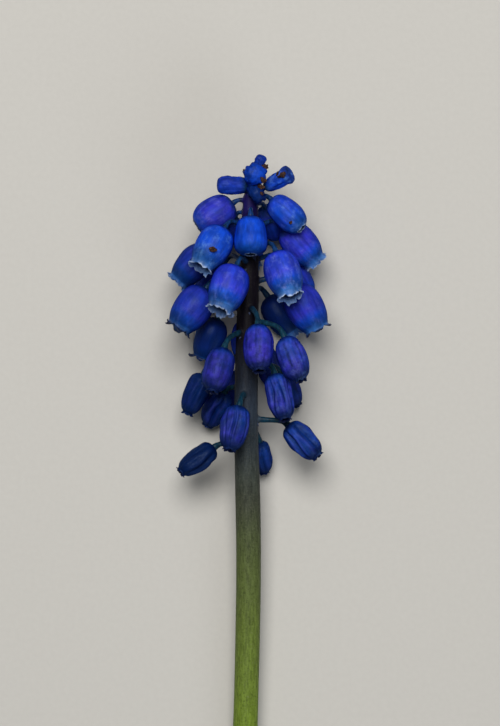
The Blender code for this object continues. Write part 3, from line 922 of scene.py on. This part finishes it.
    # How far into the hollow each inner point lies, by which the material paints shade there.
    inwards = np.clip(1.0 - depth / length, 0, 1) * inside
    return *jar_mesh(angle, radius, depth, *ends), {
        "along": with_ends(along, 0.0, 1.0), "inside": with_ends(inside, 0.0, 1.0),
        "crease": with_ends(crease), "ridge": with_ends(ridge),
        "depth": with_ends(np.clip(inwards * 2.2, 0, 1), 0.0, 1.0),
        "anther": 0.0, "hooked": hooked,
    }


# In mm, a filament's radius and an anther's two, across and along. The style's rings follow, each
# as its depth in the jar, as a share of the length, and its radius.
FILAMENT = 0.09
ANTHER = (0.2, 0.34)
STYLE = ((0.3, 0.3), (0.5, 0.14), (0.72, 0.1))


def with_stamens(points, faces, values, length, half_width):
    """An open floret's points, faces and values, with six anthers and a style in its mouth."""
    parts = []
    for k in range(TEPALS):
        angle = math.tau * (k + 0.5) / TEPALS
        out = Vector((math.cos(angle), math.sin(angle), 0.0))
        tip = out * 0.3 * half_width + Vector((0.0, 0.0, -0.8 * length))
        root = out * 0.5 * half_width + Vector((0.0, 0.0, -0.6 * length))
        parts.append(tube([root, (root + tip) / 2, tip], [FILAMENT * MM] * 3, 6))
        across, along = ANTHER
        parts.append(ball(tip, across * MM, along * MM, out + Vector((0.0, 0.0, -2.0))))
    style = [Vector((0.0, 0.0, -share * length)) for share, _ in STYLE]
    parts.append(tube(style, [radius * MM for _, radius in STYLE], 8))
    # Every second part is an anther.
    anther = np.concatenate([np.full(len(part[0]), k % 2.0) for k, part in enumerate(parts)])
    # The filaments and the style take part of the hollow's painted shade.
    added = {"along": 1.0, "inside": 1.0 - anther, "depth": 0.35, "anther": anther}
    values = {
        key: np.append(
            np.broadcast_to(value, len(points)),
            np.broadcast_to(added.get(key, 0.0), len(anther)),
        )
        for key, value in values.items()
    }
    return *joined([(points, faces), *parts]), values


def make_flowers(kind, material):
    """Builds every flower of a kind, in its node's place."""
    for number, flower in enumerate(FLOWERS, 1):
        if flower.kind != kind:
            continue
        jar = JARS[OTHER_FORMS.get(flower.node, kind)]
        length = jar.length * flower.size * MM
        half_width = jar.width * flower.size * flower.plump / 2 * MM
        points, faces, values = floret_shape(jar, flower, length, half_width, number)
        if kind == "open_floret":
            points, faces, values = with_stamens(points, faces, values, length, half_width)
        place = place_of(flower)
        check_place(flower.node, place, length)
        new_piece(
            flower.node + "_petals", above_table(np.array(points, float), place), faces, place,
            jar.slot, material, [flower.node],
            violet=flower.violet, bloom=flower.bloom, deep=flower.deep, pale=flower.pale, **values,
        )


def check_place(node, place, length):
    """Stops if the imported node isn't where this flower would stand."""
    low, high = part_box(node)
    middle = place @ Vector((0.0, 0.0, -length / 2))
    if ((low + high) / 2 - middle).length > 0.6 * MM:
        raise RuntimeError(f"{node} has moved: its row in FLOWERS no longer fits the packed model")


# Stem


def pedicel_route(flower, steps=22):
    """A pedicel's points: out of the stem's middle, over an arch and into the flower's base."""
    old = flower.kind == "old_floret"
    start = stem_middle(flower.height)
    way = way_of(flower)
    end = base_of(flower) - way * PEDICEL_GAP * MM
    spring = (end - start).length * PEDICEL_SPRING
    droop = 0.35 if old else 0.0
    leave = start + (outwards(flower.turn) - Vector((0.0, droop, 0.0))).normalized() * spring
    level = max(0.0, 1.5 - flower.drop) if old else 0.0
    bend = (way + outwards(flower.turn) * level).normalized()
    arrive = end - bend * spring * (1 - 0.6 * droop - 0.4 * level)
    points = []
    for k in range(steps):
        t = k / (steps - 1)
        points.append(
            start * (1 - t) ** 3 + leave * 3 * t * (1 - t) ** 2
            + arrive * 3 * t * t * (1 - t) + end * t ** 3
        )
    return points + [end + way * depth * MM for depth in (PEDICEL_GAP, PEDICEL_SINK)]


def stem_radius(height):
    return smooth_between(STEM_THICKNESS, max(0.0, min(STEM_LENGTH, height))) / 2 * MM


STEM_RINGS = 240
STEM_SIDES = 48
PEDICEL_SIDES = 16


def make_stem_skin(sizes, looks):
    """One grown skin over the stem and all its pedicels."""
    heights = [STEM_LENGTH * k / STEM_RINGS for k in range(STEM_RINGS + 1)]
    parts = [tube([stem_middle(h) for h in heights], [stem_radius(h) for h in heights], STEM_SIDES)]
    for flower in FLOWERS:
        route = pedicel_route(flower)
        thinner = 0.16 * max(0.0, min(1.0, (flower.height - 80) / 10))
        thick = sizes.pedicel_thickness / 2 * (1.0 - thinner)
        # Each swells a little where it leaves the stem and more where it joins its flower.
        radii = []
        for k in range(len(route)):
            t = k / (len(route) - 1)
            swell = 1 + 0.16 * math.exp(-((t - 0.25) / 0.16) ** 2) * (t > 0.0)
            radii.append(thick * (swell + 0.42 * max(0.0, t - 0.82) / 0.18))
        parts.append(tube(route, radii, PEDICEL_SIDES))
    points, faces = joined(parts)
    mesh = bpy.data.meshes.new("stem_skin")
    mesh.from_pydata(points, [], faces)
    guide = bpy.data.objects.new("stem_guide", mesh)
    bpy.context.scene.collection.objects.link(guide)
    grow = guide.modifiers.new("grow together", "REMESH")
    grow.mode = "VOXEL"
    grow.voxel_size = sizes.stem_grid
    soften = guide.modifiers.new("soften", "SMOOTH")
    soften.factor = 0.5
    soften.iterations = 5
    bpy.context.view_layer.update()
    depsgraph = bpy.context.evaluated_depsgraph_get()
    grown = bpy.data.meshes.new_from_object(guide.evaluated_get(depsgraph))
    bpy.data.objects.remove(guide)

    count = len(grown.vertices)
    found = np.empty(count * 3, np.float32)
    grown.vertices.foreach_get("co", found)
    found = found.reshape(-1, 3).astype(float)
    table = np.linspace(0.0, STEM_LENGTH, 400)
    middles = np.array([stem_middle(h) for h in table])
    radii = np.array([stem_radius(h) for h in table])
    at = np.clip(found[:, 1] / MM, 0, STEM_LENGTH)
    away = np.hypot(
        found[:, 0] - np.interp(at, table, middles[:, 0]),
        found[:, 2] - np.interp(at, table, middles[:, 2]),
    )
    # The colour turns from the stem's to the pedicels' over the first half millimetre.
    beyond = away - np.interp(at, table, radii)
    pedicel = np.clip(beyond / (0.55 * MM), 0, 1)
    pedicel = pedicel * pedicel * (3 - 2 * pedicel)
    cut = np.clip(1 - found[:, 1] / (0.16 * MM), 0, 1)

    # The scape isn't quite round or quite even: shallow ribs and slow swellings shape it.
    angle = np.arctan2(found[:, 0], found[:, 2])
    slow = cloud(found * (1, 0.25, 1), 2.2 * MM, 3)
    rib = np.cos(5 * angle + 1.2) * 0.018 * MM + slow * 0.05 * MM
    outward = np.stack([np.sin(angle), np.zeros(count), np.cos(angle)], axis=1)
    found += outward * (rib * (1 - pedicel))[:, None]
    faces = [tuple(face.vertices) for face in grown.polygons]
    bpy.data.meshes.remove(grown)
    found = above_table(found, PLANT)
    new_piece(
        "stem_skin", found, faces, PLANT, "stem", stem_material(looks), ["stem"],
        pedicel=pedicel, cut=cut,
    )


# Scraps and bracts

# Where dead scraps cling, as seen from the front: across and up in the plant's frame, and their
# length, in mm.
SCRAPS = (
    (-0.66, 98.35, 0.7), (1.92, 98.65, 1.0), (1.75, 97.1, 0.9), (1.5, 96.1, 0.9), (1.6, 95.5, 0.6),
    (4.15, 97.75, 0.95), (3.55, 97.9, 0.5), (-4.2, 88.75, 0.9), (5.1, 92.1, 0.45),
)


def make_scraps(material):
    """Crumpled flakes of dead tissue, each stuck on whatever flower lies under or beside it."""
    dice = random.Random(11)
    back = PLANT.inverted()
    petals = [piece.data for piece in bpy.context.scene.objects if piece.name.endswith("_petals")]
    if not petals:
        raise RuntimeError("the flowers aren't built yet, and scraps cling to them")
    flowers = BVHTree.FromPolygons(*joined(
        ([back @ vertex.co for vertex in mesh.vertices], [face.vertices for face in mesh.polygons])
        for mesh in petals
    ))
    flakes = []
    for number, (across, height, size) in enumerate(SCRAPS):
        above = Vector((across, height, 30.0)) * MM
        where, normal, *_ = flowers.ray_cast(above, Vector((0.0, 0.0, -1.0)))
        if where is None or where.z < 0.5 * MM:
            where, normal, *_ = flowers.find_nearest(Vector((across, height, 2.5)) * MM)
        turn = Vector((0.0, 0.0, 1.0)).rotation_difference(normal).to_matrix()
        turn = turn @ Matrix.Rotation(dice.uniform(0, 6), 3, "Z")
        corners, sheets = ball((0, 0, 0), 0.5, 0.5, (0, 0, 1), rings=14, sides=20)
        raw = np.array([tuple(c) for c in corners])
        crumpled = raw * (1 + 0.8 * cloud(raw, 0.34, number + 40))[:, None]
        crumpled = crumpled * (size, size * 0.6, size * 0.45)
        crumpled[:, 2] += size * 0.16 + 0.3 * size * cloud(raw * (1, 1, 0), 0.4, number + 60)
        flakes.append(([where + turn @ (Vector(c) * MM) for c in crumpled], sheets))
    new_piece("withered_scraps", *joined(flakes), PLANT, "bud", material)


def sheet_faces(rows, columns):
    """The faces of a thin sheet whose points are its upper grid and then its lower one."""
    below = rows * columns
    faces = []
    for i in range(rows - 1):
        for j in range(columns - 1):
            k = i * columns + j
            quad = (k, k + 1, k + columns + 1, k + columns)
            faces += [quad, tuple(v + below for v in reversed(quad))]
    rim = list(range(columns)) + [i * columns + columns - 1 for i in range(1, rows)]
    rim += [below - columns + j for j in range(columns - 2, -1, -1)]
    rim += [i * columns for i in range(rows - 2, 0, -1)]
    return faces + [(b, a, a + below, b + below) for a, b in zip(rim, rim[1:] + rim[:1])]


def make_bracts(sizes, material, rows=9, columns=7):
    """A tiny pale scale under the root of each pedicel, pressed to the stem."""
    scales = []
    for number, flower in enumerate(FLOWERS):
        if flower.kind == "bud":
            continue
        dice = random.Random(number + 300)
        out = outwards(flower.turn + dice.uniform(-14, 14))
        aside = out.cross(Vector((0.0, 1.0, 0.0)))
        root_height = flower.height - 0.62 - dice.uniform(0, 0.15)
        root = stem_middle(root_height) + out * (stem_radius(root_height) - 0.03 * MM)
        long = sizes.bract_length * dice.uniform(0.7, 1.2)
        wide = long * 0.42
        curl = dice.uniform(0.25, 0.7)
        points = []
        for upper in (1, 0):
            for i in range(rows):
                t = i / (rows - 1)
                down = Vector((0.0, -t * long * 0.9, 0.0))
                half = wide * (1 - t ** 2.2) * (0.75 + 0.25 * math.cos(t * 3)) + 0.012 * MM
                for j in range(columns):
                    u = 2 * j / (columns - 1) - 1
                    lift = curl * long * t * t - 0.12 * long * u * u
                    lift += upper * 0.07 * MM * (1 - 0.6 * t)
                    points.append(root + down + aside * u * half + out * lift)
        scales.append((points, sheet_faces(rows, columns)))
    new_piece("bracts", *joined(scales), PLANT, "stem", material)


# What a user can change


class GrapeHyacinthSizes(bpy.types.PropertyGroup):
    pedicel_thickness: length_prop("Pedicel thickness", "Thickness of each flower's stalk", 0.68)
    stem_grid: length_prop("Stem grid", "Spacing of the points of the stem's skin", 0.13)
    bract_length: length_prop("Bract length", "Length of the scale under each stalk", 0.55)


class GrapeHyacinthPetals(bpy.types.PropertyGroup):
    violet: colour_prop("Violet", "Shoulders of the violet florets", "#3537c6")
    azure: colour_prop("Azure", "Shoulders of the azure florets", "#1149cc")
    teal: colour_prop("Teal", "Band above the mouth", "#0b4290")
    throat: colour_prop("Throat", "Narrow part just above the lobes", "#2d63ac")
    lobes: colour_prop("Lobes", "Lobes of the mouth", "#4e78b6")
    lobe_edges: colour_prop("Lobe edges", "Edges of the lobes", "#b6c8e8")
    # Also the painted shade on the tips of hooked lobes.
    dark_lobes_and_hook_shade: colour_prop("Dark lobes", "Lobes that aren't pale", "#0b1a3c")
    inside: colour_prop("Inside", "Inner wall of an open floret", "#6486be")
    # The wax colours are partly real wax and partly a painted highlight.
    bloom: colour_prop("Bloom", "Powdery wax on the violet shoulders", "#8082d2")
    azure_bloom_and_highlight: colour_prop("Azure bloom", "Powdery wax on the azure shoulders", "#6ea2dc")
    cells: colour_prop("Cells", "Tint of the clear cells over the pigment", "#b8d4f0")
    # The deep colour is also painted shade, on flowers in shade and in the open florets' hollows.
    deep: colour_prop("Deep", "Darkest tone of the florets", "#061a42")
    pedicel_end: colour_prop("Base", "Where the floret sits on its pedicel", "#1f4478")
    anthers: colour_prop("Anthers", "Pollen sacs in the mouth", "#14152f")
    old_blue: colour_prop("Old blue", "Old florets on the blue side", "#103a90")
    old_violet: colour_prop("Old violet", "Old florets on the violet side", "#382db0")
    # A painted highlight on the crests of the old florets' folds.
    old_crest_highlight: colour_prop("Old crest", "Crests of an old floret's folds", "#4240a8")
    # Also the painted shade in every flower's creases, pleats and wrinkles.
    navy_and_crease_shade: colour_prop("Old navy", "Creases and ends of the old florets", "#081546")
    old_teeth: colour_prop("Old teeth", "Shrivelled lobes of the old florets", "#0e1a42")
    scrap: colour_prop("Scrap", "Withered tissue", "#37211a")
    scrap_dark: colour_prop("Dark scrap", "Withered tissue, darkest", "#1c110d")
    scrap_pale: colour_prop("Pale scrap", "Withered tissue, palest", "#70503c")


class GrapeHyacinthStem(bpy.types.PropertyGroup):
    foot: colour_prop("Foot", "Cut end of the stem", "#80953c")
    green: colour_prop("Green", "Lower stem", "#697f29")
    olive: colour_prop("Olive", "Stem below the turn of colour", "#57652f")
    turning: colour_prop("Turning", "Where green turns to brown", "#3b3f33")
    dusky: colour_prop("Dusky", "Stem just under the lowest florets", "#2b3440")
    dark: colour_prop("Dark", "Stem within the spike", "#0d0912")
    tip: colour_prop("Tip", "Stem at the top of the spike", "#1c1555")
    speckle: colour_prop("Speckle", "Pale specks", "#7d7b68")
    pedicel: colour_prop("Pedicel", "Flower stalks", "#123b4e")
    pedicel_top: colour_prop("Upper pedicel", "Flower stalks near the tip", "#163d7e")
    pedicel_dark: colour_prop("Dark pedicel", "Flower stalks, darker rows", "#0a1f30")
    cut: colour_prop("Cut", "Face of the cut end", "#b9c98a")
    bract: colour_prop("Bract", "Tiny scales under the flower stalks", "#3d4862")
    bract_root: colour_prop("Bract root", "Where the scales join the stem", "#27304f")


class GrapeHyacinthStage(bpy.types.PropertyGroup):
    floor: colour_prop("Floor", "Pale floor under the flower", "#bebcb7")
    key_power: power_prop("Key light", "Strength of the main soft light", 3.25)
    fill_power: power_prop("Fill light", "Strength of the low soft light", 0.5)
    sky: share_prop("Sky", "Brightness of the surroundings", 0.08)


class OBJECT_OT_grape_hyacinth_stem(bpy.types.Operator):
    """Build the stem with all its pedicels"""

    bl_idname = "object.grape_hyacinth_stem"
    bl_label = "Build Stem"

    def execute(self, context):
        scene = context.scene
        make_stem_skin(scene.grape_hyacinth_sizes, scene.grape_hyacinth_stem)
        return {"FINISHED"}


class OBJECT_OT_grape_hyacinth_bracts(bpy.types.Operator):
    """Build the tiny scales under the flower stalks"""

    bl_idname = "object.grape_hyacinth_bracts"
    bl_label = "Build Bracts"

    def execute(self, context):
        scene = context.scene
        make_bracts(scene.grape_hyacinth_sizes, bract_material(scene.grape_hyacinth_stem))
        return {"FINISHED"}


class OBJECT_OT_grape_hyacinth_scraps(bpy.types.Operator):
    """Build the withered scraps that cling to the tip, once the flowers are built"""

    bl_idname = "object.grape_hyacinth_scraps"
    bl_label = "Build Withered Scraps"

    def execute(self, context):
        make_scraps(scrap_material(context.scene.grape_hyacinth_petals))
        return {"FINISHED"}


class OBJECT_OT_grape_hyacinth_buds(bpy.types.Operator):
    """Build the sterile buds at the tip of the spike"""

    bl_idname = "object.grape_hyacinth_buds"
    bl_label = "Build Buds"

    def execute(self, context):
        looks = context.scene.grape_hyacinth_petals
        make_flowers("bud", petal_material("waxy_bud_tissue", looks))
        return {"FINISHED"}


class OBJECT_OT_grape_hyacinth_young_florets(bpy.types.Operator):
    """Build the young florets that are just opening"""

    bl_idname = "object.grape_hyacinth_young_florets"
    bl_label = "Build Young Florets"

    def execute(self, context):
        looks = context.scene.grape_hyacinth_petals
        make_flowers("young_floret", petal_material("waxy_young_petals", looks))
        return {"FINISHED"}


class OBJECT_OT_grape_hyacinth_open_florets(bpy.types.Operator):
    """Build the open florets with their pale curled lobes"""

    bl_idname = "object.grape_hyacinth_open_florets"
    bl_label = "Build Open Florets"

    def execute(self, context):
        looks = context.scene.grape_hyacinth_petals
        make_flowers("open_floret", petal_material("waxy_open_petals", looks, opened=True))
        return {"FINISHED"}


class OBJECT_OT_grape_hyacinth_old_florets(bpy.types.Operator):
    """Build the old florets, folded and closing"""

    bl_idname = "object.grape_hyacinth_old_florets"
    bl_label = "Build Old Florets"

    def execute(self, context):
        looks = context.scene.grape_hyacinth_petals
        make_flowers("old_floret", petal_material("folded_old_petals", looks, old=True))
        return {"FINISHED"}


# The photograph's view, in mm in the plant's frame: what it centres on, how tall it is, how far
# the lens stands off and how wide its sensor is.
VIEW_MIDDLE = (0.24, 75.24, 2.0)
VIEW_HEIGHT = 87.12
VIEW_DISTANCE = 620.0
SENSOR = 36.0

# The lamps: how far each stands to the right of what the view centres on, above it and in front
# of it, and how wide it is, all in metres, and its colour.
WARM = (1.0, 0.98, 0.95)
COOL = (0.9, 0.95, 1.0)
LAMPS = (("key", (-0.03, 0.21, 0.48), 0.36, WARM), ("fill", (0.2, -0.36, 0.28), 0.25, COOL))

# The floor's reach to every side, in metres.
FLOOR_REACH = 1.5
FLOOR_CORNERS = ((-1, -1), (1, -1), (1, 1), (-1, 1))


def area_light(name, place, target, size, power, colour):
    """A soft round lamp that shines on its target."""
    light = bpy.data.lights.new(name, "AREA")
    light.shape = "DISK"
    light.size = size
    light.energy = power
    light.color = colour
    lamp = bpy.data.objects.new(name, light)
    lamp.location = place
    lamp.rotation_euler = (target - place).to_track_quat("-Z", "Y").to_euler()
    bpy.context.scene.collection.objects.link(lamp)


class OBJECT_OT_grape_hyacinth_stage(bpy.types.Operator):
    """Build the floor, the lights and the camera"""

    bl_idname = "object.grape_hyacinth_stage"
    bl_label = "Build Stage"

    def execute(self, context):
        looks = context.scene.grape_hyacinth_stage
        mesh = bpy.data.meshes.new("floor")
        corners = [(x * FLOOR_REACH, y * FLOOR_REACH, 0) for x, y in FLOOR_CORNERS]
        mesh.from_pydata(corners, [], [(0, 1, 2, 3)])
        mesh.materials.append(floor_material(looks))
        floor = bpy.data.objects.new("floor", mesh)
        context.scene.collection.objects.link(floor)

        world = bpy.data.worlds.new("soft surroundings")
        world.use_nodes = True
        sky = world.node_tree.nodes["Background"].inputs
        sky["Color"].default_value = (*COOL, 1.0)
        sky["Strength"].default_value = looks.sky
        context.scene.world = world

        target = PLANT @ (Vector(VIEW_MIDDLE) * MM)
        front = (PLANT.to_3x3() @ Vector((0.0, 0.0, 1.0))).normalized()
        up = (PLANT.to_3x3() @ Vector((0.0, 1.0, 0.0))).normalized()
        view = Matrix((up.cross(front), up, front)).transposed()
        powers = looks.key_power, looks.fill_power
        for (name, offset, width, colour), power in zip(LAMPS, powers):
            area_light(name, target + view @ Vector(offset), target, width, power, colour)

        camera = bpy.data.objects.new("camera", bpy.data.cameras.new("camera"))
        camera.data.sensor_width = SENSOR
        camera.data.lens = SENSOR * VIEW_DISTANCE / VIEW_HEIGHT
        camera.data.clip_start = 0.01
        camera.data.dof.use_dof = False
        camera.matrix_world = view.to_4x4()
        camera.location = target + front * VIEW_DISTANCE * MM
        context.scene.collection.objects.link(camera)
        context.scene.camera = camera
        context.scene.view_settings.view_transform = "Standard"
        return {"FINISHED"}


OPERATORS = (
    OBJECT_OT_grape_hyacinth_stem,
    OBJECT_OT_grape_hyacinth_buds,
    OBJECT_OT_grape_hyacinth_young_florets,
    OBJECT_OT_grape_hyacinth_open_florets,
    OBJECT_OT_grape_hyacinth_old_florets,
    OBJECT_OT_grape_hyacinth_bracts,
    OBJECT_OT_grape_hyacinth_scraps,
    OBJECT_OT_grape_hyacinth_stage,
)
SETTINGS = {
    "grape_hyacinth_sizes": GrapeHyacinthSizes,
    "grape_hyacinth_petals": GrapeHyacinthPetals,
    "grape_hyacinth_stem": GrapeHyacinthStem,
    "grape_hyacinth_stage": GrapeHyacinthStage,
}


class VIEW3D_PT_grape_hyacinth(bpy.types.Panel):
    """Sizes, colours and building steps of the grape hyacinth"""

    bl_label = "Grape Hyacinth"
    bl_idname = "VIEW3D_PT_grape_hyacinth"
    bl_space_type = "VIEW_3D"
    bl_region_type = "UI"
    bl_category = "Grape Hyacinth"

    def draw(self, context):
        layout = self.layout
        for key, group in SETTINGS.items():
            box = layout.box()
            for prop in group.__annotations__:
                box.prop(getattr(context.scene, key), prop)
        for operator in OPERATORS:
            layout.operator(operator.bl_idname)


def register():
    for group in SETTINGS.values():
        bpy.utils.register_class(group)
    for operator in OPERATORS:
        bpy.utils.register_class(operator)
    bpy.utils.register_class(VIEW3D_PT_grape_hyacinth)
    for key, group in SETTINGS.items():
        setattr(bpy.types.Scene, key, PointerProperty(type=group))


def unregister():
    for key in SETTINGS:
        delattr(bpy.types.Scene, key)
    bpy.utils.unregister_class(VIEW3D_PT_grape_hyacinth)
    for operator in reversed(OPERATORS):
        bpy.utils.unregister_class(operator)
    for group in reversed(SETTINGS.values()):
        bpy.utils.unregister_class(group)


def main():
    register()
    bpy.ops.object.grape_hyacinth_stem()
    bpy.ops.object.grape_hyacinth_buds()
    bpy.ops.object.grape_hyacinth_young_florets()
    bpy.ops.object.grape_hyacinth_open_florets()
    bpy.ops.object.grape_hyacinth_old_florets()
    bpy.ops.object.grape_hyacinth_bracts()
    bpy.ops.object.grape_hyacinth_scraps()
    bpy.ops.object.grape_hyacinth_stage()


if __name__ == "__main__":
    main()
